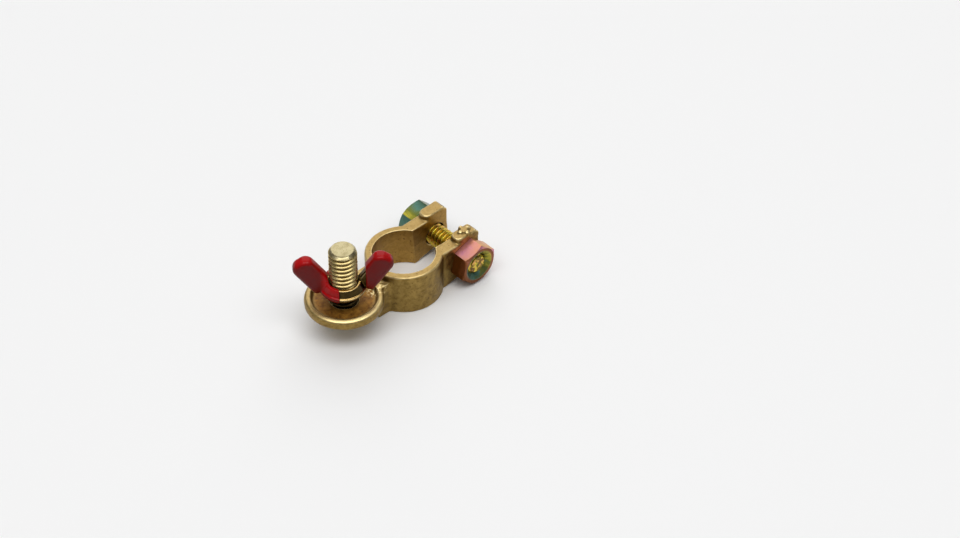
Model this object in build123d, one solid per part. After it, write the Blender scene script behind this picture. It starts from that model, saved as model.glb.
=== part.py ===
from build123d import *
import math
import os

# Battery terminal clamp: a cast brass ring split between two ears, a round pad with a
# threaded stud for the cable lug, a wing nut with vinyl covers, and a pinch bolt with its nut.
# Millimetres. The origin is the centre of the post bore at the ring's top face, where the
# narrow end of the taper comes flush with the battery post. +X runs from the bore to the
# ears, +Z is up, and the bolt lies along Y with its head on the +Y ear.

# Post ring
bore_diameter = 17.5        # narrow end of the bore, at the top of the ring
bore_taper = 1 / 9          # growth of the diameter for each millimetre down the post
bore_land = 2.5             # straight stretch below the top face
ring_wall = 2.2
ring_height = 12.9
cast_edge = 0.6             # rounding of the casting's outer edges
inner_edge = 0.35           # rounding of the edges beside the gap

# Ears
ear_gap = 9.0
ear_thickness = 4.0
ear_end = 20.9              # bore axis to the far end of an ear
ear_end_draft = 0.4
ear_rise = 2.4              # how far the underside climbs towards the end
ear_rise_start = 8.0
ear_corner = 1.5
block_length = 8.0          # raised block, from its round nose to the ear's end
block_height = 1.6          # block top above the ring's top face
block_root = 1.0            # how far the block runs down into the ear
block_bevel = 1.2
block_edge = 0.6

# Lug pad and neck
pad_diameter = 22.1
pad_clear = 0.1             # ring's outer wall to the pad's edge
pad_drop = 2.2              # rim top below the ring's top face
pad_thickness = 3.3
rim_width = 1.8
recess_depth = 1.3
recess_slope = 0.6
pad_edge = 1.1
rim_edge = 0.45
neck_width = 10.0
neck_overlap = 2.8          # how far the neck runs in under the pad
neck_blend = 1.2
gusset = 1.5

# Terminal stud, 5/16 inch with 18 threads to the inch
stud_diameter = 7.94
stud_pitch = 25.4 / 18
stud_top = 14.9             # above the ring's top face
stud_chamfer = 0.9
stud_head_diameter = 13.0
stud_head_height = 2.0
stud_head_edge = 0.5

# Wing nut and its covers of dipped vinyl
thread_depth = 0.6          # as a share of the pitch
thread_clearance = 0.05     # between a nut's bore and the thread's crests
hub_base = 0.8              # underside of the hub above the ring's top face
hub_height = 2.9
hub_base_diameter = 12.4
hub_flange = 0.8            # height of the straight flange round the hub's foot
hub_foot_diameter = 11.4    # foot of the cone, on the flange
hub_top_diameter = 9.8
hub_edge = 0.4
wing_turn = -37.0           # degrees from +X, as the nut was left on the stud
wing_slope = 55.0           # degrees up from level
wing_root_radius = 5.5      # where the wing's centre line starts
wing_root_height = 1.3      # above the hub's underside
wing_length = 10.4          # along the centre line, to the blunt tip
wing_width = 4.7
wing_corner = 1.7           # rounding of the tip's two corners
wing_thickness = 2.4
wing_edge = 0.5
cover_wall = 0.85
cover_tip_wall = 1.2
cover_fit = 0.05            # between a cover and the brass inside it
cover_round = 1.5
cover_stud_gap = 0.4        # thread's crests to the vinyl
left_dip = 1.6              # stud's axis to the vinyl's edge: dipped on over half of the hub
left_hub_wall = 0.5         # vinyl on the hub
right_dip = 6.0             # dipped less far, so the web beside the stud stays bare
right_hub_wall = 0.0

# Pinch bolt and nut, 1/4 inch with 20 threads to the inch
bolt_diameter = 6.35
bolt_pitch = 25.4 / 20
bolt_inset = 4.9            # far end of an ear to the bolt's axis
bolt_hole_clearance = 0.25
bolt_flats = 11.11
bolt_head_height = 5.2
bolt_head_turn = -14.0      # degrees, as the bolt was left
washer_face = 0.6           # height of the round face under the head
bolt_past_nut = -0.6        # the bolt ends a little inside the nut
bolt_end_chamfer = 0.8
nut_height = 4.8
nut_turn = 18.0
countersink = 1.2           # depth of the cone at each end of the nut's bore
hex_chamfer = 30.0          # degrees, on the corners of head and nut

# Sizes that follow
bore_radius = bore_diameter / 2
ring_radius = bore_radius + ring_wall
ring_bottom = -ring_height
ear_inner = ear_gap / 2
ear_outer = ear_inner + ear_thickness
block_end = ear_end - ear_end_draft
block_nose = 0.475 * ear_thickness
pad_radius = pad_diameter / 2
stud_distance = ring_radius + pad_clear + pad_radius
recess_radius = pad_radius - rim_width
rim_top = -pad_drop
recess_floor = rim_top - recess_depth
pad_bottom = rim_top - pad_thickness
stud_radius = stud_diameter / 2
wing_start = -wing_root_height / math.sin(math.radians(wing_slope)) / 2
bolt_radius = bolt_diameter / 2
washer_face_diameter = 0.9 * bolt_flats
bolt_distance = ear_end - bolt_inset
bolt_drop = ring_height / 2
bolt_axis = Plane(origin=(bolt_distance, 0, -bolt_drop), x_dir=(1, 0, 0), z_dir=(0, -1, 0))
stud_axis = Pos(-stud_distance, 0, 0)


def profile(points, rounds):
    """A closed outline on the XZ plane, with the named corners rounded."""
    corners = Polyline(*[(x, 0, z) for x, z in points], close=True)
    face = make_face(corners)
    for (x, z), radius in rounds:
        corner = face.vertices().sort_by_distance((x, 0, z))[0]
        face = fillet(corner, radius)
    return face


def ring_disc():
    """The ring before its bore is cut, with rounded outer edges."""
    top = (ring_radius, 0)
    bottom = (ring_radius, ring_bottom)
    section = profile([(0, 0), top, bottom, (0, ring_bottom)], [(top, cast_edge), (bottom, cast_edge)])
    return revolve(section, Axis.Z)


def ear_block():
    """The raised block on the near ear, round at its nose and bevelled at its far end."""
    middle = -(ear_inner + ear_outer) / 2
    plan = Pos(block_end - block_length / 2, middle) * Rectangle(block_length, ear_thickness)
    plan = fillet(plan.vertices().group_by(Axis.X)[0], block_nose)
    block = extrude(Pos(0, 0, -block_root) * plan, block_root + block_height)
    top_edges = block.edges().group_by(Axis.Z)[-1]
    block = chamfer(top_edges.sort_by(Axis.X)[-1], block_bevel)
    top_edges = block.edges().group_by(Axis.Z)[-1]
    return fillet(top_edges.sort_by(Axis.X)[:-1], block_edge)


def near_ear():
    """The ear on the nut's side: a plate level with the ring, with a block on its end."""
    underside = ring_bottom + ear_rise
    points = [
        (0, ring_bottom),
        (ear_rise_start, ring_bottom),
        (ear_end, underside),
        (ear_end - ear_end_draft, 0),
        (0, 0),
    ]
    face = Pos(0, -ear_inner, 0) * profile(points, [((ear_end, underside), ear_corner)])
    plate = extrude(face, ear_thickness, dir=(0, -1, 0))
    plate = fillet(plate.edges().group_by(Axis.Y)[0], cast_edge)
    plate = fillet(plate.edges().group_by(Axis.Y)[-1], inner_edge)
    return plate + ear_block()


def pad():
    """The round pad, with a raised rim and a shallow recess for the cable lug."""
    outer_bottom = (pad_radius, pad_bottom)
    outer_top = (pad_radius, rim_top)
    rim_inside = (recess_radius, rim_top)
    recess_corner = (recess_radius - recess_slope, recess_floor)
    section = profile(
        [(0, pad_bottom), outer_bottom, outer_top, rim_inside, recess_corner, (0, recess_floor)],
        [(outer_bottom, pad_edge), (outer_top, pad_edge), (rim_inside, rim_edge), (recess_corner, rim_edge)],
    )
    return stud_axis * revolve(section, Axis.Z)


def neck():
    """The full-height web from ring to pad, blended into the ring, with a gusset under the pad."""
    reach = stud_distance - pad_radius + neck_overlap
    plan = Circle(ring_radius) + Pos(-reach / 2, 0) * Rectangle(reach, neck_width)
    inner_corners = plan.vertices().filter_by(lambda v: abs(abs(v.Y) - neck_width / 2) < 0.001)
    plan = fillet(inner_corners.sort_by(Axis.X)[-2:], neck_blend)
    plan = plan - Circle(bore_radius)
    web = extrude(Pos(0, 0, ring_bottom) * plan, rim_top - ring_bottom)
    brace = profile(
        [
            (-reach, pad_bottom - gusset),
            (-reach - gusset, pad_bottom),
            (-reach, pad_bottom + pad_edge),
            (-reach + gusset, pad_bottom),
        ],
        [],
    )
    return web + extrude(brace, neck_width / 2, both=True)


def clamp_body():
    """The whole casting, with its reamed bore, the gap between the ears and the bolt holes."""
    ear = near_ear()
    body = ring_disc() + neck() + pad() + ear + mirror(ear, about=Plane.XZ)
    bottom_radius = bore_radius + (ring_height - bore_land) * bore_taper / 2
    bore = profile(
        [(0, 0), (bore_radius, 0), (bore_radius, -bore_land), (bottom_radius, ring_bottom), (0, ring_bottom)],
        [],
    )
    body -= revolve(bore, Axis.Z)
    slot = Box(ear_end, ear_gap, 2 * ring_height, align=(Align.MIN, Align.CENTER, Align.CENTER))
    body -= slot
    hole = Cylinder(bolt_radius + bolt_hole_clearance, 2 * ear_outer + 2 * cast_edge)
    body -= bolt_axis * hole
    return body - stud_axis * Cylinder(stud_radius, 2 * ring_height)


def thread(crest, pitch, low, high):
    """Outline of a thread between two heights, drawn as plain grooves a pitch apart and not as a helix."""
    turns = int((high - low) / pitch)
    crest_flat = pitch / 8
    points = []
    for turn in range(turns):
        start = high - (turns - turn) * pitch
        root = (crest - thread_depth * pitch, start + (pitch + crest_flat) / 2)
        points += [(crest, start), (crest, start + crest_flat), root]
    return points


def terminal_stud():
    """A stud pressed up through the pad, with a low round head against the pad's underside."""
    head_radius = stud_head_diameter / 2
    head_bottom = pad_bottom - stud_head_height
    corner = (head_radius, head_bottom)
    section = profile(
        [
            (0, head_bottom),
            corner,
            (head_radius, pad_bottom),
            (stud_radius, pad_bottom),
            *thread(stud_radius, stud_pitch, recess_floor, stud_top - stud_chamfer),
            (stud_radius, stud_top - stud_chamfer),
            (stud_radius - stud_chamfer, stud_top),
            (0, stud_top),
        ],
        [(corner, stud_head_edge)],
    )
    return stud_axis * revolve(section, Axis.Z)


def hub(grow):
    """The wing nut's hub about the Z axis, a cone on a flange, grown all round by the given amount."""
    low = hub_base - grow
    ledge = hub_base + hub_flange + grow
    high = hub_base + hub_height + grow
    base = (hub_base_diameter / 2 + grow, low)
    flange = (hub_base_diameter / 2 + grow, ledge)
    foot = (hub_foot_diameter / 2 + grow, ledge)
    top = (hub_top_diameter / 2 + grow, high)
    section = profile([(0, low), base, flange, foot, top, (0, high)], [(base, hub_edge / 2), (top, hub_edge)])
    return revolve(section, Axis.Z)


def wing_frame():
    """A plane along a wing: local X up its centre line from the root, local Z across its thickness."""
    slope = math.radians(wing_slope)
    along = (math.cos(slope), 0, math.sin(slope))
    return Plane(origin=(wing_root_radius, 0, hub_base + wing_root_height), x_dir=along, z_dir=(0, -1, 0))


def tab(start, end, width, corner, thickness, edge):
    """A flat tab on the wing's plane, its tip's corners and its broad edges rounded."""
    outline = Pos((start + end) / 2, 0) * Rectangle(end - start, width)
    outline = fillet(outline.vertices().group_by(Axis.X)[-1], corner)
    solid = extrude(outline, thickness / 2, both=True)
    broad = solid.edges().filter_by(lambda e: abs(abs(e.center().Z) - thickness / 2) < 0.001)
    return wing_frame() * fillet(broad, edge)


def below(height):
    """A block under the given height, wider than the wing nut, to cut it level."""
    block = Box(4 * wing_length, 4 * wing_length, wing_length, align=(Align.CENTER, Align.CENTER, Align.MAX))
    return Pos(0, 0, height) * block


def wing(grow):
    """One wing from inside the hub, cut level with its underside, grown all round by the given amount."""
    width = wing_width + 2 * grow
    thickness = wing_thickness + 2 * grow
    blade = tab(wing_start, wing_length + grow, width, wing_corner + grow, thickness, wing_edge + grow)
    return blade - below(hub_base - grow)


def on_stud(shape, half_turn):
    """A wing or cover turned to the left or right side and set on the stud's axis."""
    return stud_axis * Rot(0, 0, wing_turn + half_turn) * shape


def wing_nut():
    """Hub and two wings in one piece, with the bore that runs on the stud."""
    turned = stud_axis * hub(0) + on_stud(wing(0), 0) + on_stud(wing(0), 180)
    bore = Cylinder(stud_radius + thread_clearance, 4 * hub_height + 4 * wing_length)
    return turned - stud_axis * bore


def wing_cover(dip, hub_wall, half_turn):
    """Vinyl on one wing, and on the hub where it was dipped that far, clear of the stud."""
    width = wing_width + 2 * cover_wall
    corner = wing_corner + cover_wall
    thickness = wing_thickness + 2 * cover_wall
    skin = tab(wing_start, wing_length + cover_tip_wall, width, corner, thickness, cover_round) + hub(hub_wall)
    trim = Cylinder(stud_radius + cover_stud_gap, 4 * hub_height + 4 * wing_length)
    dry = Box(4 * wing_length, 4 * wing_length, 4 * wing_length, align=(Align.MAX, Align.CENTER, Align.CENTER))
    skin -= trim + Pos(dip, 0, 0) * dry + below(hub_base)
    return on_stud(skin - wing(cover_fit) - hub(cover_fit), half_turn)


def hexagon(height, turn):
    """A hexagonal prism on the bolt's axis, its outer corners turned off to a cone."""
    corner_radius = bolt_flats / math.sqrt(3)
    drop = (corner_radius - bolt_flats / 2) * math.tan(math.radians(hex_chamfer))
    prism = extrude(Rot(0, 0, turn) * RegularPolygon(corner_radius, 6), height)
    section = profile(
        [(0, 0), (corner_radius, 0), (corner_radius, height - drop), (bolt_flats / 2, height), (0, height)],
        [],
    )
    return prism & revolve(section, Axis.Z)


def pinch_bolt():
    """Hex head against the +Y ear and a shank through both ears and the nut."""
    under_head = -ear_outer - washer_face
    hexagon_plane = Plane(origin=(0, 0, under_head), z_dir=(0, 0, -1))
    head = hexagon_plane * hexagon(bolt_head_height - washer_face, bolt_head_turn)
    tip = ear_outer + nut_height + bolt_past_nut
    shank = profile(
        [
            (0, under_head),
            (washer_face_diameter / 2, under_head),
            (washer_face_diameter / 2, -ear_outer),
            (bolt_radius, -ear_outer),
            *thread(bolt_radius, bolt_pitch, -ear_outer, tip - bolt_end_chamfer),
            (bolt_radius, tip - bolt_end_chamfer),
            (bolt_radius - bolt_end_chamfer, tip),
            (0, tip),
        ],
        [],
    )
    return bolt_axis * (head + revolve(shank, Axis.Z))


def pinch_nut():
    """Hex nut against the -Y ear, with its countersunk bore on the bolt."""
    hole = bolt_radius + thread_clearance
    mouth = hole + countersink
    bore = profile(
        [
            (0, 0),
            (mouth, 0),
            (hole, countersink),
            (hole, nut_height - countersink),
            (mouth, nut_height),
            (0, nut_height),
        ],
        [],
    )
    return bolt_axis * Pos(0, 0, ear_outer) * (hexagon(nut_height, nut_turn) - revolve(bore, Axis.Z))


nodes = {
    "clamp_body": clamp_body(),
    "terminal_stud": terminal_stud(),
    "wing_nut": wing_nut(),
    "wing_cover_left": wing_cover(left_dip, left_hub_wall, 180),
    "wing_cover_right": wing_cover(right_dip, right_hub_wall, 0),
    "pinch_bolt": pinch_bolt(),
    "pinch_nut": pinch_nut(),
}

os.makedirs("parts", exist_ok=True)
for name, shape in nodes.items():
    export_step(shape, f"parts/{name}.step")
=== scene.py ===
import bpy
import math
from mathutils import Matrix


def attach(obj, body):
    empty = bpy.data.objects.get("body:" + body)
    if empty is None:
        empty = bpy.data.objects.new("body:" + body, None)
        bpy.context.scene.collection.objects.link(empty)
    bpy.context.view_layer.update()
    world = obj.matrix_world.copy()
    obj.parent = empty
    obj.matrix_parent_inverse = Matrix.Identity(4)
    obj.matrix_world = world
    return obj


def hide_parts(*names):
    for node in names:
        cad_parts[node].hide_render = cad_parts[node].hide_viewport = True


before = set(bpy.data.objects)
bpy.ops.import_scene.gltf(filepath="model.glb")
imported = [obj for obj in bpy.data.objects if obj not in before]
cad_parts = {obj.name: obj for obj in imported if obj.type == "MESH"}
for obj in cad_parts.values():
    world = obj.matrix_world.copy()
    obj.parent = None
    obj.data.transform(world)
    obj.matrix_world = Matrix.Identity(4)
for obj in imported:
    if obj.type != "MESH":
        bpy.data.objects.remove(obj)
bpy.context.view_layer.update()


# Casting: ring, ears, neck and lug pad, poured as one piece of brass in a two-part mould and tumbled.
# Tumbling leaves bright soft edges and a dull, faintly pitted skin, darker in the lug recess. Light is painted
# on too: lighter level faces, darker walls and cream highlights along the edges.
# A raised plus sign on the nut's ear marks it for the positive post.
mm = 0.001
weld_reach = 0.002 * mm
casting_voxel = 0.22 * mm
cast_wave_length = 2.6 * mm
cast_wave_height = 0.14 * mm
sign_centre = (16.6 * mm, -6.45 * mm, 1.7 * mm)
sign_reach = 3.9 * mm
sign_stroke = 1.4 * mm
sign_depth = 1.5 * mm
sign_round = 0.5 * mm


def make_active(piece):
    """Leaves this piece as the only one selected."""
    bpy.ops.object.select_all(action="DESELECT")
    bpy.context.view_layer.objects.active = piece
    piece.select_set(True)


def merged_copy(node_name, piece_name):
    """A CAD node's shape as a piece of its own, its loose triangles welded."""
    piece = bpy.data.objects.new(piece_name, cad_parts[node_name].data.copy())
    bpy.context.scene.collection.objects.link(piece)
    make_active(piece)
    piece.data.materials.clear()
    bpy.ops.object.mode_set(mode="EDIT")
    bpy.ops.mesh.select_all(action="SELECT")
    bpy.ops.mesh.remove_doubles(threshold=weld_reach)
    bpy.ops.mesh.customdata_custom_splitnormals_clear()
    bpy.ops.object.mode_set(mode="OBJECT")
    return piece


def finish_with(piece, kind, **settings):
    """One modifier, set and applied."""
    make_active(piece)
    modifier = piece.modifiers.new(kind.lower(), kind)
    for name, value in settings.items():
        setattr(modifier, name, value)
    bpy.ops.object.modifier_apply(modifier=modifier.name)


def resurface(piece, voxel, rounds):
    """An even skin of small faces, its sharp edges worn down by rounds of smoothing."""
    finish_with(piece, "REMESH", mode="VOXEL", voxel_size=voxel, use_smooth_shade=True)
    finish_with(piece, "SMOOTH", factor=0.5, iterations=rounds)


def mark_wear(piece):
    """Stores how far each point stands proud or lies in a hollow, as the colour attribute wear.

    A value of 0.5 is flat.
    """
    make_active(piece)
    bpy.ops.geometry.color_attribute_add(
        name="wear", domain="CORNER", data_type="FLOAT_COLOR", color=(1, 1, 1, 1)
    )
    bpy.ops.paint.vertex_color_dirt(
        blur_strength=1.0, blur_iterations=3, clean_angle=math.pi, dirt_angle=0, normalize=False
    )


def sign_bar(length_x, length_y):
    """One stroke of the plus sign, with rounded edges, sunk a little into the ear."""
    bpy.ops.object.select_all(action="DESELECT")
    bpy.ops.mesh.primitive_cube_add(size=1, location=sign_centre, scale=(length_x, length_y, sign_depth))
    bpy.ops.object.transform_apply(location=True, rotation=True, scale=True)
    bpy.ops.object.mode_set(mode="EDIT")
    bpy.ops.mesh.select_all(action="SELECT")
    bpy.ops.mesh.bevel(offset=sign_round, segments=4, affect="EDGES")
    bpy.ops.object.mode_set(mode="OBJECT")
    return bpy.context.object


casting = merged_copy("clamp_body", "casting")
strokes = [sign_bar(sign_reach, sign_stroke), sign_bar(sign_stroke, sign_reach)]
make_active(casting)
for stroke in strokes:
    stroke.select_set(True)
bpy.ops.object.join()
resurface(casting, casting_voxel, rounds=4)
cast_waves = bpy.data.textures.new("cast_waves", "CLOUDS")
cast_waves.noise_scale = cast_wave_length
cast_waves.noise_depth = 3
finish_with(
    casting, "DISPLACE", texture=cast_waves, texture_coords="LOCAL", strength=cast_wave_height, mid_level=0.9
)
mark_wear(casting)


def paint(red, green, blue):
    """A colour as it looks on screen, 0 to 255, in the linear values that shaders take."""
    shares = [value / 255 for value in (red, green, blue)]
    linear = [share / 12.92 if share < 0.04 else ((share + 0.055) / 1.055) ** 2.4 for share in shares]
    return linear + [1.0]


def set_inputs(tree, node, values):
    """Sets a node's inputs: a socket is linked, and anything else is the input's plain value."""
    for name, value in dict(values).items():
        if isinstance(value, bpy.types.NodeSocket):
            tree.links.new(value, node.inputs[name])
        else:
            node.inputs[name].default_value = value


def shader_node(tree, kind, values=(), **settings):
    """A shader node with its settings and inputs."""
    made = tree.nodes.new("ShaderNode" + kind)
    for name, value in settings.items():
        setattr(made, name, value)
    set_inputs(tree, made, values)
    return made


def combine(tree, operation, first, second=0.0, **settings):
    """Two values joined by an operation, which may use the first alone."""
    return shader_node(tree, "Math", {0: first, 1: second}, operation=operation, **settings).outputs[0]


def combine_vectors(tree, operation, first, second, output="Vector"):
    """Two vectors joined by an operation, whose output is a vector or a value."""
    return shader_node(tree, "VectorMath", {0: first, 1: second}, operation=operation).outputs[output]


def mask(tree, value, start, end, low=0.0, high=1.0):
    """A value that runs from low to high while another runs from start to end."""
    return shader_node(tree, "MapRange", {
        "Value": value, "From Min": start, "From Max": end, "To Min": low, "To Max": high,
    }).outputs["Result"]


# Most of a noise value lies between these two.
noise_low = 0.3
noise_high = 0.7


def noise(tree, place, scale, detail, roughness, distortion=0.0):
    """A cloudy value about 0.5."""
    return shader_node(tree, "TexNoise", {
        "Vector": place, "Scale": scale, "Detail": detail, "Roughness": roughness, "Distortion": distortion,
    }).outputs["Fac"]


def ramp(tree, value, stops):
    """A colour that follows a value through (position, screen colour) stops."""
    made = shader_node(tree, "ValToRGB", {"Fac": value})
    elements = made.color_ramp.elements
    for element, (position, colour) in zip(elements, (stops[0], stops[-1])):
        element.position, element.color = position, paint(*colour)
    for position, colour in stops[1:-1]:
        elements.new(position).color = paint(*colour)
    return made.outputs["Color"]


def tone(tree, value, dark, light, start=noise_low, end=noise_high):
    """A colour that runs from dark to light with a noise value."""
    return ramp(tree, value, [(start, dark), (end, light)])


def follow(tree, value, low, high):
    """A value that runs from low to high with a noise value."""
    return mask(tree, value, noise_low, noise_high, low, high)


def mix(tree, share, under, over, most=1.0):
    """A colour laid over another by a share, which is at most the given one."""
    if most < 1.0:
        share = combine(tree, "MULTIPLY", share, most)
    return shader_node(tree, "MixRGB", {"Fac": share, "Color1": under, "Color2": over}).outputs["Color"]


def off_axis(tree, place, point, plane):
    """Distance from the axis through a point that is square to a plane, whose two directions are 1."""
    flat = combine_vectors(tree, "MULTIPLY", combine_vectors(tree, "SUBTRACT", place, point), plane)
    return shader_node(tree, "VectorMath", {0: flat}, operation="LENGTH").outputs["Value"]


def bump(tree, height, strength, distance):
    """A surface's normal with fine relief."""
    values = {"Height": height, "Strength": strength, "Distance": distance}
    return shader_node(tree, "Bump", values).outputs["Normal"]


def split(tree, vector):
    """The X, Y and Z of a vector."""
    return shader_node(tree, "SeparateXYZ", {0: vector}).outputs


def new_group(name, inputs, outputs):
    """An empty shader group, with its float inputs, to read from, and its output node, to link to."""
    group = bpy.data.node_groups.new(name, "ShaderNodeTree")
    for socket, value in inputs:
        made = group.interface.new_socket(socket, in_out="INPUT", socket_type="NodeSocketFloat")
        made.default_value = value
    for socket, kind in outputs:
        group.interface.new_socket(socket, in_out="OUTPUT", socket_type=kind)
    return group, group.nodes.new("NodeGroupInput").outputs, group.nodes.new("NodeGroupOutput")


def group_node(tree, group, values=()):
    """A group's outputs, placed in a material with its own values."""
    made = tree.nodes.new("ShaderNodeGroup")
    made.node_tree = group
    set_inputs(tree, made, values)
    return made.outputs


def new_material(name, values):
    """A material with one Principled shader, its plain values set on the shader's own sockets."""
    material = bpy.data.materials.new(name)
    material.use_nodes = True
    shader = material.node_tree.nodes["Principled BSDF"]
    set_inputs(material.node_tree, shader, values)
    return material, material.node_tree, shader


def metal_skin_group():
    """Cloudy mottling, fine grain and small pits in a metal's skin."""
    group, given, out = new_group(
        "metal_skin",
        [("Mottle Scale", 400.0), ("Grain Scale", 3000.0)],
        [("Mottle", "NodeSocketFloat"), ("Grain", "NodeSocketFloat"), ("Pits", "NodeSocketFloat")],
    )
    place = shader_node(group, "TexCoord").outputs["Object"]
    pit_scale = combine(group, "MULTIPLY", given["Grain Scale"], 0.45)
    set_inputs(group, out, {
        "Mottle": noise(group, place, given["Mottle Scale"], 5.0, 0.62, 0.4),
        "Grain": noise(group, place, given["Grain Scale"], 4.0, 0.7),
        "Pits": mask(group, noise(group, place, pit_scale, 2.0, 0.5), 0.62, 0.74),
    })
    return group


def edge_wear_and_highlight_group():
    """Masks for edges, rubbed bright and also used for painted highlights, and for hollows left dull, from the
    wear attribute.
    """
    group, _, out = new_group(
        "edge_wear_and_highlight", [], [("Edge", "NodeSocketFloat"), ("Hollow", "NodeSocketFloat")]
    )
    wear = shader_node(group, "Attribute", attribute_name="wear").outputs["Fac"]
    set_inputs(group, out, {
        "Edge": mask(group, wear, 0.512, 0.535),
        "Hollow": mask(group, wear, 0.488, 0.46),
    })
    return group


metal_skin = metal_skin_group()
edge_wear_and_highlight = edge_wear_and_highlight_group()

# Places on the casting where its skin differs or where light is painted on it.
upright_plane = (1.0, 1.0, 0.0)
ring_centre = (0.0, 0.0, 0.0)
bore_wall = 9.6 * mm
gap_wall = 4.65 * mm
gap_start = 6.5 * mm
gap_full = 7.0 * mm
cut_blend = 0.15 * mm
stud_foot = (-22.1 * mm, 0.0, 0.0)
recess_edge = 9.2 * mm
recess_middle = 7.6 * mm
recess_top = -2.5 * mm
recess_floor = -3.1 * mm
rim_crest = 10.05 * mm
rim_crest_band = 0.85 * mm
rim_crest_full = 0.5 * mm
rim_crest_low = -3.0 * mm
rim_front = (-0.35, -0.94, 0.0)
rim_front_start = 4.0 * mm
rim_front_full = 9.0 * mm
rough_spot = (-13.6 * mm, -3.9 * mm, -2.9 * mm)
rough_spot_radius = 3.2 * mm
rough_spot_full = 2.0 * mm
parting_height = -6.3 * mm
parting_band = 0.22 * mm
parting_crest = 0.04 * mm


def cast_brass_material():
    """Tumbled cast brass with light painted in: tan on level faces as painted light, olive-brown on the walls
    as painted shade, bright along the edges as rubbed metal and painted highlight.
    """
    material, tree, shader = new_material("cast_brass", {"Specular IOR Level": 0.3})
    skin = group_node(tree, metal_skin, {"Mottle Scale": 640.0, "Grain Scale": 3600.0})
    worn = group_node(tree, edge_wear_and_highlight)
    coordinates = shader_node(tree, "TexCoord").outputs
    place = coordinates["Object"]
    along = split(tree, place)
    upward = split(tree, coordinates["Normal"])["Z"]
    mottle = skin["Mottle"]

    # The bore is reamed and the ears are milled on the inside, so their walls are cleaner.
    off_bore = off_axis(tree, place, ring_centre, upright_plane)
    in_bore = mask(tree, off_bore, bore_wall + cut_blend, bore_wall)
    off_middle = combine(tree, "ABSOLUTE", along["Y"])
    in_gap = mask(tree, off_middle, gap_wall + cut_blend, gap_wall)
    past_bore = mask(tree, along["X"], gap_start, gap_full)
    cut_wall = combine(tree, "MAXIMUM", in_bore, combine(tree, "MULTIPLY", in_gap, past_bore))
    shaded_cast_tone = tone(tree, mottle, (112, 89, 43), (166, 138, 77))
    cut_tone = tone(tree, mottle, (142, 109, 52), (182, 145, 76))
    lit_level_tone = tone(tree, mottle, (156, 128, 75), (190, 161, 104))
    colour = mix(tree, cut_wall, shaded_cast_tone, cut_tone)
    # Painted light and shade: faces that look upward take the lighter level tone, and the walls keep the darker
    # tones.
    colour = mix(tree, mask(tree, upward, 0.25, 0.85), colour, lit_level_tone)

    # The lug recess keeps the brown skin of the mould.
    off_stud = off_axis(tree, place, stud_foot, upright_plane)
    inside = mask(tree, off_stud, recess_edge, recess_middle)
    below = mask(tree, along["Z"], recess_top, recess_floor)
    recess = combine(tree, "MULTIPLY", inside, below)
    bareness = mask(tree, recess, 0.0, 1.0, 1.0, 0.45)
    colour = mix(tree, recess, colour, tone(tree, mottle, (108, 67, 20), (172, 121, 46), 0.34, 0.66))

    # Cable lugs have rubbed the crest of the pad's rim, and a painted highlight makes it brightest at its
    # front.
    off_crest = combine(tree, "ABSOLUTE", combine(tree, "SUBTRACT", off_stud, rim_crest))
    on_crest = mask(tree, off_crest, rim_crest_band, rim_crest_full)
    above = mask(tree, along["Z"], rim_crest_low, recess_top)
    from_stud = combine_vectors(tree, "SUBTRACT", place, stud_foot)
    to_front = combine_vectors(tree, "DOT_PRODUCT", from_stud, rim_front, "Value")
    at_front = mask(tree, to_front, rim_front_start, rim_front_full, 0.15, 1.0)
    crest = combine(tree, "MULTIPLY", combine(tree, "MULTIPLY", on_crest, above), at_front)

    # The skin came out rough where the neck runs into the pad, and its high points are rubbed bright and
    # painted as glints.
    off_spot = combine_vectors(tree, "DISTANCE", place, rough_spot, "Value")
    at_spot = mask(tree, off_spot, rough_spot_radius, rough_spot_full)
    high_points = mask(tree, noise(tree, place, 1500.0, 2.0, 0.5), 0.5, 0.6)
    specks_and_glints = combine(tree, "MULTIPLY", at_spot, high_points)

    # Hollows and pits hold tarnish. Edges are rubbed bright and carry painted highlights, strongest on those
    # that face upward, in the same cream as the rim's crest and the rough spot.
    grime = combine(tree, "MAXIMUM", worn["Hollow"], skin["Pits"])
    rubbed_and_highlit_edges = combine(tree, "MULTIPLY", worn["Edge"], mask(tree, upward, 0.05, 0.5, 0.2, 1.0))
    rubbed_and_highlit = combine(tree, "MAXIMUM", rubbed_and_highlit_edges, combine(tree, "MAXIMUM", crest, specks_and_glints))
    colour = mix(tree, grime, colour, paint(70, 47, 18), 0.7)
    # Painted highlight, partly rubbed brass: near-white cream laid on the edges, the rim's crest and the rough
    # spot's high points.
    colour = mix(tree, rubbed_and_highlit, colour, paint(255, 231, 168), 0.95)
    dullness = follow(tree, mottle, 0.34, 0.5)
    polish = combine(tree, "MULTIPLY", rubbed_and_highlit_edges, -0.14)
    roughness = combine(tree, "ADD", dullness, polish, use_clamp=True)

    # Grain and pits in the skin, and the faint ridge where the two halves of the mould met.
    off_line = combine(tree, "ABSOLUTE", combine(tree, "SUBTRACT", along["Z"], parting_height))
    ridge = mask(tree, off_line, parting_band, parting_crest)
    grain = combine(tree, "ADD", skin["Grain"], combine(tree, "MULTIPLY", skin["Pits"], -0.8))
    relief = combine(tree, "ADD", grain, ridge)
    set_inputs(tree, shader, {
        "Base Color": colour, "Metallic": bareness, "Roughness": roughness,
        "Normal": bump(tree, relief, 0.45, 0.06 * mm),
    })
    return material


casting.data.materials.append(cast_brass_material())
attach(casting, "clamp")
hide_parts("clamp_body")


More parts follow.
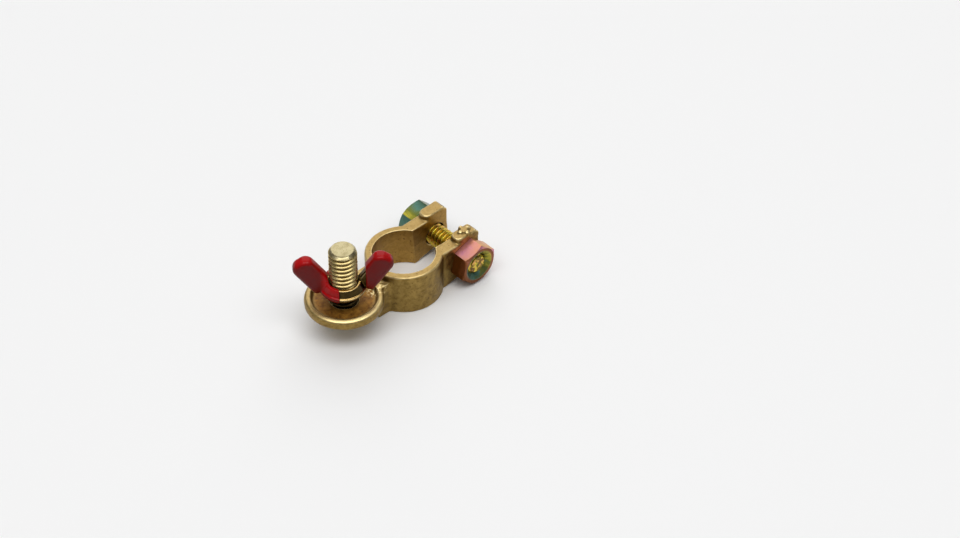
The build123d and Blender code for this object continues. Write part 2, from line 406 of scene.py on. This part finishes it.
# Terminal stud: a brass screw with a rolled 5/16 inch thread, pressed up through the pad.
# Its low round head bears on the pad's underside, with a shallow dimple, and its end is turned to a chamfer.
stud_crest = 3.97 * mm
stud_root = 3.12 * mm
stud_pitch = 1.411 * mm
stud_low = -3.7 * mm
stud_top = 14.9 * mm
stud_chamfer = 0.9 * mm
stud_head_radius = 6.5 * mm
stud_head_low = -7.5 * mm
stud_head_high = -5.5 * mm
stud_head_round = 0.5 * mm
stud_dimple_inset = 2.6 * mm
stud_dimple_slope = 0.35 * mm
stud_dimple_depth = 0.25 * mm
stud_end_depth = 0.9 * mm
stud_end_full = 0.5 * mm
stud_shade_top = 1.2 * mm
stud_shade_blend = 0.8 * mm
thread_spare = 0.3 * mm
thread_steps = 72
thread_weld = 0.003 * mm
cut_weld = 0.001 * mm
smooth_angle = math.radians(32)

# One pitch of a rolled thread: share of the pitch, and share of the depth from root to crest.
thread_form = [
    (0.0, 0.0), (0.07, 0.02), (0.13, 0.1), (0.25, 0.5), (0.37, 0.88), (0.43, 0.97),
    (0.5, 1.0), (0.57, 0.97), (0.63, 0.88), (0.75, 0.5), (0.87, 0.1), (0.93, 0.02), (1.0, 0.0),
]


def select_faces(piece, direction):
    """Selects the faces that look straight along a direction, and nothing else of the piece."""
    make_active(piece)
    bpy.ops.object.mode_set(mode="EDIT")
    bpy.ops.mesh.select_all(action="DESELECT")
    bpy.ops.object.mode_set(mode="OBJECT")
    for face in piece.data.polygons:
        face.select = sum(a * b for a, b in zip(face.normal, direction)) > 0.999


def upright_cylinder(radius, low, high, vertices):
    """A plain cylinder about the Z axis."""
    bpy.ops.object.select_all(action="DESELECT")
    bpy.ops.mesh.primitive_cylinder_add(
        vertices=vertices, radius=radius, depth=high - low, location=(0, 0, (low + high) / 2)
    )
    bpy.ops.object.transform_apply(location=True, rotation=True, scale=True)
    return bpy.context.object


def bevel_end(cylinder, direction, offset, segments):
    """Bevels the edge around one end of a cylinder."""
    select_faces(cylinder, direction)
    bpy.ops.object.mode_set(mode="EDIT")
    bpy.ops.mesh.bevel(offset=offset, segments=segments, affect="EDGES")
    bpy.ops.object.mode_set(mode="OBJECT")


def threaded_rod(piece_name, crest, root, pitch, low, high, chamfer):
    """A rolled thread about the Z axis: its outline traced, screwed up the axis and turned to a chamfer."""
    turns = math.ceil((high - low) / pitch) + 3
    start = low - 1.5 * pitch
    outline = [(root + (crest - root) * rise, start + pitch * along) for along, rise in thread_form]
    bpy.ops.object.select_all(action="DESELECT")
    bpy.ops.mesh.primitive_plane_add(size=mm, location=(0, 0, 0))
    rod = bpy.context.object
    rod.name = piece_name
    bpy.ops.object.mode_set(mode="EDIT")
    bpy.ops.mesh.merge(type="CENTER")
    bpy.ops.transform.translate(value=(outline[0][0], 0, outline[0][1]))
    for (r0, z0), (r1, z1) in zip(outline, outline[1:]):
        bpy.ops.mesh.extrude_region_move(TRANSFORM_OT_translate={"value": (r1 - r0, 0, z1 - z0)})
    bpy.ops.object.mode_set(mode="OBJECT")
    finish_with(
        rod, "SCREW", axis="Z", screw_offset=pitch, iterations=turns, steps=thread_steps,
        render_steps=thread_steps, use_merge_vertices=False, use_smooth_shade=True,
    )
    bpy.ops.object.mode_set(mode="EDIT")
    bpy.ops.mesh.select_all(action="SELECT")
    bpy.ops.mesh.remove_doubles(threshold=thread_weld)
    bpy.ops.mesh.normals_make_consistent(inside=False)
    for end, outward in ((high + thread_spare, 1), (low - thread_spare, -1)):
        bpy.ops.mesh.select_all(action="SELECT")
        bpy.ops.mesh.bisect(
            plane_co=(0, 0, end), plane_no=(0, 0, outward), use_fill=True, clear_outer=True
        )
    bpy.ops.object.mode_set(mode="OBJECT")

    blank = upright_cylinder(crest + thread_spare, low, high, vertices=144)
    bevel_end(blank, (0, 0, 1), chamfer + thread_spare, segments=1)
    finish_with(rod, "BOOLEAN", operation="INTERSECT", object=blank, solver="EXACT")
    bpy.data.objects.remove(blank)
    bpy.ops.object.mode_set(mode="EDIT")
    bpy.ops.mesh.select_all(action="SELECT")
    bpy.ops.mesh.remove_doubles(threshold=cut_weld)
    bpy.ops.mesh.dissolve_degenerate(threshold=cut_weld)
    bpy.ops.object.mode_set(mode="OBJECT")
    return rod


stud = threaded_rod(
    "terminal_stud_thread", stud_crest, stud_root, stud_pitch, stud_low, stud_top, stud_chamfer
)
stud_head = upright_cylinder(stud_head_radius, stud_head_low, stud_head_high, vertices=96)
bevel_end(stud_head, (0, 0, -1), stud_head_round, segments=4)
select_faces(stud_head, (0, 0, -1))
bpy.ops.object.mode_set(mode="EDIT")
bpy.ops.mesh.inset(thickness=stud_dimple_inset, depth=0)
bpy.ops.mesh.inset(thickness=stud_dimple_slope, depth=-stud_dimple_depth)
bpy.ops.object.mode_set(mode="OBJECT")
make_active(stud)
stud_head.select_set(True)
bpy.ops.object.join()
bpy.ops.object.shade_smooth_by_angle(angle=smooth_angle)
stud.location = stud_foot
bpy.ops.object.transform_apply(location=True, rotation=True, scale=True)


def stud_brass_material():
    """Bright rolled brass, paler than the casting, with painted shade in the thread's roots and on the stretch
    below the nut.
    """
    material, tree, shader = new_material("stud_brass", {"Metallic": 1.0})
    skin = group_node(tree, metal_skin, {"Mottle Scale": 700.0, "Grain Scale": 4200.0})
    place = shader_node(tree, "TexCoord").outputs["Object"]
    height = split(tree, place)["Z"]
    mottle = skin["Mottle"]

    off_stud = off_axis(tree, place, stud_foot, upright_plane)
    # Painted shade: the thread's roots are near black against the bright crests.
    shaded_root_tone = tone(tree, mottle, (44, 32, 12), (72, 57, 25))
    crest_tone = tone(tree, mottle, (190, 168, 108), (228, 207, 148))
    end_tone = tone(tree, mottle, (158, 146, 108), (194, 182, 142))
    end_face = mask(tree, height, stud_top - stud_end_depth, stud_top - stud_end_full)
    colour = mix(tree, mask(tree, off_stud, stud_root, stud_crest), shaded_root_tone, crest_tone)
    colour = mix(tree, end_face, colour, end_tone)

    # Painted shade: the stretch of stud between the recess and the wing nut's hub is painted dark brown.
    under_nut = mask(tree, height, stud_shade_top, stud_shade_top - stud_shade_blend)
    over_head = mask(tree, height, stud_low - stud_shade_blend, stud_low)
    shaded_below_nut = combine(tree, "MULTIPLY", under_nut, over_head)
    set_inputs(tree, shader, {
        "Base Color": mix(tree, shaded_below_nut, colour, paint(40, 29, 13), 0.9),
        "Roughness": follow(tree, mottle, 0.2, 0.34),
        "Normal": bump(tree, skin["Grain"], 0.25, 0.04 * mm),
    })
    return material


stud.data.materials.append(stud_brass_material())
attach(stud, "clamp")
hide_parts("terminal_stud")


# Wing nut: a forged brass nut that clamps the cable's lug on the stud, turned by hand.
# Its flat wings rise from a low cone on a flange, and handling keeps its edges polished.
wing_nut_voxel = 0.15 * mm

wing_nut = merged_copy("wing_nut", "wing_nut_forging")
resurface(wing_nut, wing_nut_voxel, rounds=5)
mark_wear(wing_nut)


def nut_brass_material():
    """Brass with painted shade on its walls and painted light on its level faces, bright along its polished
    edges, with a brown film in its corners.
    """
    material, tree, shader = new_material("nut_brass", {"Metallic": 1.0})
    skin = group_node(tree, metal_skin, {"Mottle Scale": 520.0, "Grain Scale": 5200.0})
    worn = group_node(tree, edge_wear_and_highlight)
    upward = split(tree, shader_node(tree, "TexCoord").outputs["Normal"])["Z"]
    mottle = skin["Mottle"]
    shaded_wall_tone = tone(tree, mottle, (46, 37, 19), (76, 61, 31))
    lit_level_tone = tone(tree, mottle, (186, 150, 86), (214, 178, 112))
    # Painted light and shade: level faces lighter, walls near black, by which way each face looks.
    colour = mix(tree, mask(tree, upward, 0.55, 0.9), shaded_wall_tone, lit_level_tone)
    colour = mix(tree, worn["Hollow"], colour, paint(84, 60, 26), 0.75)
    set_inputs(tree, shader, {
        "Base Color": mix(tree, worn["Edge"], colour, paint(240, 214, 156), 0.7),
        "Roughness": follow(tree, mottle, 0.16, 0.3),
        "Normal": bump(tree, skin["Grain"], 0.2, 0.04 * mm),
    })
    return material


wing_nut.data.materials.append(nut_brass_material())
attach(wing_nut, "wing_nut")
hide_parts("wing_nut")


# Wing covers: soft red vinyl on the two wings, which were heated and dipped.
# The left cover runs on over half of the hub.
# They are glossy at the tips, with a slight orange-peel skin and scuffs from handling.
cover_voxel = 0.18 * mm
cover_hub_start = 6.9 * mm
cover_hub_full = 5.4 * mm


def red_vinyl_material():
    """Glossy red vinyl, with painted shade on the sides and painted light on top and over the hub."""
    material, tree, shader = new_material("red_vinyl", {"Specular IOR Level": 0.06, "Coat Roughness": 0.12})
    coordinates = shader_node(tree, "TexCoord").outputs
    place = coordinates["Object"]
    upward = split(tree, coordinates["Normal"])["Z"]
    cloud = noise(tree, place, 260.0, 4.0, 0.6)
    peel = noise(tree, place, 1500.0, 2.0, 0.5)
    scuffs = mask(tree, noise(tree, place, 900.0, 6.0, 0.75, 1.2), 0.6, 0.78)

    # Painted light: faces that look upward, and the cover over the hub, take the lighter red; the sides keep
    # the deep red as painted shade.
    over_hub = mask(tree, off_axis(tree, place, stud_foot, upright_plane), cover_hub_start, cover_hub_full)
    painted_light_share = combine(tree, "MAXIMUM", mask(tree, upward, 0.3, 0.8), over_hub)
    shaded_red = tone(tree, cloud, (90, 9, 7), (106, 13, 10))
    lit_red = tone(tree, cloud, (150, 8, 11), (176, 12, 15))
    colour = mix(tree, painted_light_share, shaded_red, lit_red)
    dullness = follow(tree, cloud, 0.24, 0.4)
    scuffed = combine(tree, "MULTIPLY", scuffs, 0.25)
    set_inputs(tree, shader, {
        "Base Color": mix(tree, scuffs, colour, paint(136, 30, 30), 0.3),
        "Roughness": combine(tree, "ADD", dullness, scuffed, use_clamp=True),
        "Coat Weight": follow(tree, cloud, 0.34, 0.14),
        "Normal": bump(tree, peel, 0.16, 0.1 * mm),
    })
    return material


red_vinyl = red_vinyl_material()
for side in ("left", "right"):
    cover = merged_copy("wing_cover_" + side, "vinyl_cover_" + side)
    resurface(cover, cover_voxel, rounds=14)
    cover.data.materials.append(red_vinyl)
    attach(cover, "wing_nut")
    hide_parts("wing_cover_" + side)


# Pinch bolt: a quarter-inch hex bolt threaded along its whole shank, which draws the ears together.
# Steel, zinc plated and yellow passivated, so the film shows green, gold and pink.
bolt_axis = (16.0 * mm, 0.0, -6.45 * mm)
bolt_plane = (1.0, 0.0, 1.0)
bolt_crest = 3.175 * mm
bolt_root = 2.42 * mm
bolt_pitch = 1.27 * mm
bolt_under_head = 8.5 * mm
bolt_into_head = 0.5 * mm
bolt_tip = 12.7 * mm
bolt_tip_chamfer = 0.75 * mm
bolt_shade_depth = 0.45 * mm
bolt_fleck_depth = 0.8 * mm
bolt_fleck_full = 0.3 * mm
bolt_head_blend = 0.2 * mm
bolt_cut_past = 0.001 * mm
plated_edge = 0.14 * mm


def soften_edges(piece, width):
    """Flat faces made whole again, then every sharp edge given a small round."""
    make_active(piece)
    bpy.ops.object.mode_set(mode="EDIT")
    bpy.ops.mesh.select_all(action="SELECT")
    bpy.ops.mesh.dissolve_limited(angle_limit=math.radians(1.5))
    bpy.ops.object.mode_set(mode="OBJECT")
    finish_with(piece, "BEVEL", width=width, segments=3, limit_method="ANGLE", angle_limit=math.radians(16))
    bpy.ops.object.shade_smooth_by_angle(angle=math.radians(30))


bolt_head = merged_copy("pinch_bolt", "bolt_head")
bpy.ops.object.mode_set(mode="EDIT")
bpy.ops.mesh.select_all(action="SELECT")
bpy.ops.mesh.bisect(
    plane_co=(0, bolt_under_head + bolt_cut_past, 0), plane_no=(0, -1, 0), use_fill=True, clear_outer=True
)
bpy.ops.object.mode_set(mode="OBJECT")
soften_edges(bolt_head, plated_edge)
bolt = threaded_rod(
    "pinch_bolt_threaded", bolt_crest, bolt_root, bolt_pitch,
    -bolt_under_head - bolt_into_head, bolt_tip, bolt_tip_chamfer,
)
bpy.ops.object.shade_smooth_by_angle(angle=smooth_angle)
bolt.rotation_euler.x = math.pi / 2
bolt.location = bolt_axis
make_active(bolt)
bpy.ops.object.transform_apply(location=True, rotation=True, scale=True)
bolt_head.select_set(True)
bpy.ops.object.join()


def passivate_film_group():
    """Colour of a passivate film, by its thickness, which shifts from face to face, along it and in clouds; on
    the bolt's head and the nut the shifts by facing and along it are set to paint light and shade.
    """
    group, given, out = new_group(
        "passivate_film",
        [
            ("Phase", 0.4), ("Lean X", 0.0), ("Lean Y", 0.0), ("Lean Z", 0.0), ("From X", 0.0), ("From Y", 0.0),
            ("Drift X", 0.0), ("Drift Y", 0.0), ("Cloud Share", 0.5), ("Cloud Scale", 420.0),
        ],
        [("Color", "NodeSocketColor"), ("Cloud", "NodeSocketFloat"), ("Grain", "NodeSocketFloat")],
    )

    def given_vector(name, axes):
        """A vector from the group's inputs of one name."""
        return shader_node(group, "CombineXYZ", {axis: given[name + axis] for axis in axes}).outputs[0]

    coordinates = shader_node(group, "TexCoord").outputs
    place = coordinates["Object"]
    cloud = noise(group, place, given["Cloud Scale"], 3.0, 0.55, 0.6)
    lean = combine_vectors(group, "DOT_PRODUCT", coordinates["Normal"], given_vector("Lean ", "XYZ"), "Value")
    past = combine_vectors(group, "SUBTRACT", place, given_vector("From ", "XY"))
    drift = combine_vectors(group, "DOT_PRODUCT", past, given_vector("Drift ", "XY"), "Value")
    clouding = combine(group, "MULTIPLY", combine(group, "ADD", cloud, -0.5), given["Cloud Share"])
    thickness = given["Phase"]
    for shift in (lean, drift, clouding):
        thickness = combine(group, "ADD", thickness, shift)
    set_inputs(group, out, {
        "Color": ramp(group, thickness, [
            (0.0, (44, 28, 14)),
            (0.12, (46, 58, 36)),
            (0.24, (76, 110, 98)),
            (0.36, (104, 108, 44)),
            (0.5, (222, 202, 72)),
            (0.62, (214, 160, 84)),
            (0.74, (216, 150, 112)),
            (0.86, (212, 140, 160)),
            (0.92, (146, 88, 58)),
            (1.0, (108, 60, 18)),
        ]),
        "Cloud": cloud,
        "Grain": noise(group, place, 5200.0, 3.0, 0.6),
    })
    return group


passivate_film = passivate_film_group()


def bolt_steel_material():
    """Passivated zinc: olive to teal on the head, with a painted highlight in yellow toward its -X side, yellow
    on the thread.

    Painted shade lies in the thread's roots and over the bolt's end, broken into flecks there.
    """
    material, tree, shader = new_material("bolt_steel", {"Metallic": 1.0})
    # Painted light and shade on the head: its film shifts by facing and along X to a yellow highlight toward
    # one side and dark green and teal elsewhere.
    head_film = group_node(tree, passivate_film, {
        "Phase": 0.24, "Lean X": 0.3, "Lean Z": 0.05, "From X": bolt_axis[0], "Drift X": -51.0,
        "Cloud Share": 0.2, "Cloud Scale": 300.0,
    })
    thread_film = group_node(tree, passivate_film, {
        "Phase": 0.52, "Lean Y": -0.03, "Cloud Share": 0.6, "Cloud Scale": 900.0,
    })
    place = shader_node(tree, "TexCoord").outputs["Object"]
    along = split(tree, place)["Y"]

    off_bolt = off_axis(tree, place, bolt_axis, bolt_plane)
    in_root = mask(tree, off_bolt, bolt_root + bolt_shade_depth, bolt_root)
    at_tip = mask(tree, along, bolt_fleck_depth - bolt_tip, bolt_fleck_full - bolt_tip)
    bare = mask(tree, noise(tree, place, 560.0, 3.0, 0.6, 0.8), 0.52, 0.44)
    shade_left = combine(tree, "SUBTRACT", 1.0, combine(tree, "MULTIPLY", at_tip, bare))
    root_shade = combine(tree, "MULTIPLY", in_root, shade_left)
    # Painted shade: dark olive in the thread's roots and on the bolt's end, left off in cloudy flecks near the
    # tip.
    thread_tone = mix(tree, root_shade, thread_film["Color"], paint(58, 50, 14), 0.8)
    on_head = mask(tree, along, bolt_under_head - bolt_head_blend, bolt_under_head)
    set_inputs(tree, shader, {
        "Base Color": mix(tree, on_head, thread_tone, head_film["Color"]),
        "Roughness": follow(tree, head_film["Cloud"], 0.2, 0.34),
        "Normal": bump(tree, head_film["Grain"], 0.15, 0.03 * mm),
    })
    return material


bolt.data.materials.append(bolt_steel_material())
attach(bolt, "pinch_bolt")
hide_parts("pinch_bolt")


# Pinch nut: a plain hex nut on the bolt's end, with a countersunk bore, of the same plated steel.
# Its film is thicker: pink running to copper on the upper flat, brown at the sides and the rim of its faces,
# and olive within the rim; the brown of the lower and side flats and the darker side of the olive are painted
# shade.
nut_middle = -10.9 * mm
nut_face_radius = 4.9 * mm
nut_face_blend = 0.5 * mm

nut = merged_copy("pinch_nut", "pinch_nut_plated")
soften_edges(nut, plated_edge)


def nut_steel_material():
    """Passivated zinc with a thick film: pink to copper above, with painted shade in brown on the sides and
    lower flats, and olive on the faces, darker toward -X as painted shade.
    """
    material, tree, shader = new_material("nut_steel", {"Metallic": 0.8, "Specular IOR Level": 0.3})
    # Painted shade: the film's lean by facing turns flats that look down or sideways dark brown, and the face's
    # film darkens toward -X.
    film = group_node(tree, passivate_film, {
        "Phase": 0.9, "Lean X": -0.16, "Lean Y": -0.13, "Lean Z": -0.16,
        "From Y": nut_middle, "Drift Y": 30.0, "Cloud Share": 0.25, "Cloud Scale": 260.0,
    })
    face_film = group_node(tree, passivate_film, {
        "Phase": 0.29, "From X": bolt_axis[0], "Drift X": 30.0, "Cloud Share": 0.5, "Cloud Scale": 420.0,
    })
    place = shader_node(tree, "TexCoord").outputs["Object"]
    off_bolt = off_axis(tree, place, bolt_axis, bolt_plane)
    on_face = mask(tree, off_bolt, nut_face_radius, nut_face_radius - nut_face_blend)
    set_inputs(tree, shader, {
        "Base Color": mix(tree, on_face, film["Color"], face_film["Color"]),
        "Roughness": follow(tree, film["Cloud"], 0.32, 0.44),
        "Normal": bump(tree, film["Grain"], 0.15, 0.03 * mm),
    })
    return material


nut.data.materials.append(nut_steel_material())
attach(nut, "pinch_nut")
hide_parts("pinch_nut")


# Studio: a pale sweep of paper under the clamp, and a dim surround that is pale low down.
# A large soft light behind the clamp is mirrored by its level faces.
# A long and brighter one overhead draws the lines along its front edges.
floor_height = -12.92 * mm
floor_size = 6.0
paper_white = (243, 243, 243)
clamp_middle = (-6 * mm, 0, 0)
camera_place = (-470.4 * mm, -529.7 * mm, 653.7 * mm)
camera_aim = (19.7 * mm, -9.7 * mm, -12.6 * mm)
focal_pixels = 3498
picture_pixels = 960
sensor_width = 36.0

bpy.ops.object.select_all(action="DESELECT")
bpy.ops.mesh.primitive_plane_add(size=floor_size, location=(0, 0, floor_height))
floor = bpy.context.object
floor.name = "paper_floor"
paper, _, _ = new_material("paper", {
    "Base Color": paint(*paper_white), "Roughness": 0.9, "Specular IOR Level": 0.1,
})
floor.data.materials.append(paper)


def aim(thing, place, target):
    """Puts a lamp or the camera at a place, looking at a point."""
    across, ahead, up = (end - start for end, start in zip(target, place))
    thing.location = place
    thing.rotation_euler = (math.atan2(math.hypot(across, ahead), -up), 0, math.atan2(-across, ahead))


def soft_light(name, place, width, depth, power):
    """A rectangular soft box aimed at the clamp."""
    bpy.ops.object.light_add(type="AREA")
    lamp = bpy.context.object
    lamp.name = name
    lamp.data.shape = "RECTANGLE"
    lamp.data.size = width
    lamp.data.size_y = depth
    lamp.data.energy = power
    aim(lamp, place, clamp_middle)


soft_light("far_box", (0.7, 0.75, 0.95), 1.6, 1.6, 9.2)
soft_light("top_box", (-0.25, -0.3, 1.2), 1.8, 0.6, 10.0)

world = bpy.data.worlds.new("dim_surround")
bpy.context.scene.world = world
world.use_nodes = True
sky = world.node_tree
sky_up = split(sky, shader_node(sky, "TexCoord").outputs["Generated"])["Z"]
sky_tone = ramp(sky, sky_up, [
    (0.0, paper_white),
    (0.09, paper_white),
    (0.13, (101, 101, 101)),
    (0.35, (108, 108, 108)),
    (1.0, (192, 192, 192)),
])
set_inputs(sky, sky.nodes["Background"], {"Color": sky_tone})

camera_data = bpy.data.cameras.new("camera")
camera_data.sensor_fit = "HORIZONTAL"
camera_data.sensor_width = sensor_width
camera_data.lens = focal_pixels * sensor_width / picture_pixels
camera_data.clip_start = 0.01
camera = bpy.data.objects.new("camera", camera_data)
bpy.context.scene.collection.objects.link(camera)
aim(camera, camera_place, camera_aim)
bpy.context.scene.camera = camera
bpy.context.scene.view_settings.view_transform = "Standard"
